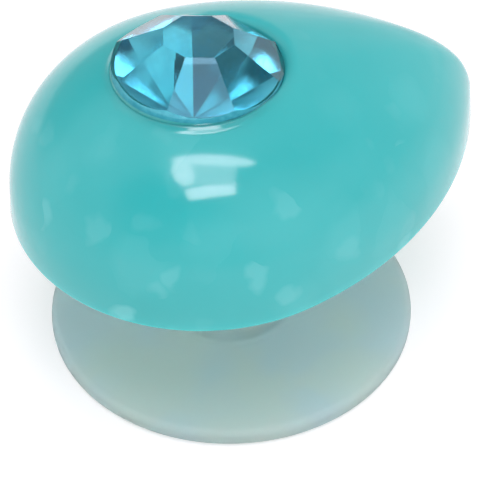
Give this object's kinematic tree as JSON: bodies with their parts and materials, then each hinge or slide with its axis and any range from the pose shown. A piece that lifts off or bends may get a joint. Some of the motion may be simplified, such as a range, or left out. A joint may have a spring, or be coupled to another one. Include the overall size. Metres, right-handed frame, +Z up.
{
  "type": "clog charm",
  "caption": "Domed teardrop cabochon set with a round faceted stone, glued to a soft push-in button back that plugs into a clog's hole.",
  "frame": {"origin": "centre of the retaining disc's underside, on the neck's axis", "axes": "+Z up along the neck, +X along the cabochon's long axis towards its tip"},
  "size_m": [0.0159, 0.0124, 0.0122],
  "materials": {
    "resin": "polished marbled teal cast resin",
    "crystal": "cut and polished aqua glass",
    "foil": "bright mirror foil",
    "clear_cement": "clear cement, glossy",
    "soft_plastic": "frosted translucent soft moulding"
  },
  "bodies": {
    "root": {"cabochon": "resin", "chaton": "crystal", "chaton_foil": "foil", "chaton_cement": "clear_cement", "button_back": "soft_plastic", "back_cement": "clear_cement"}
  },
  "joints": []
}
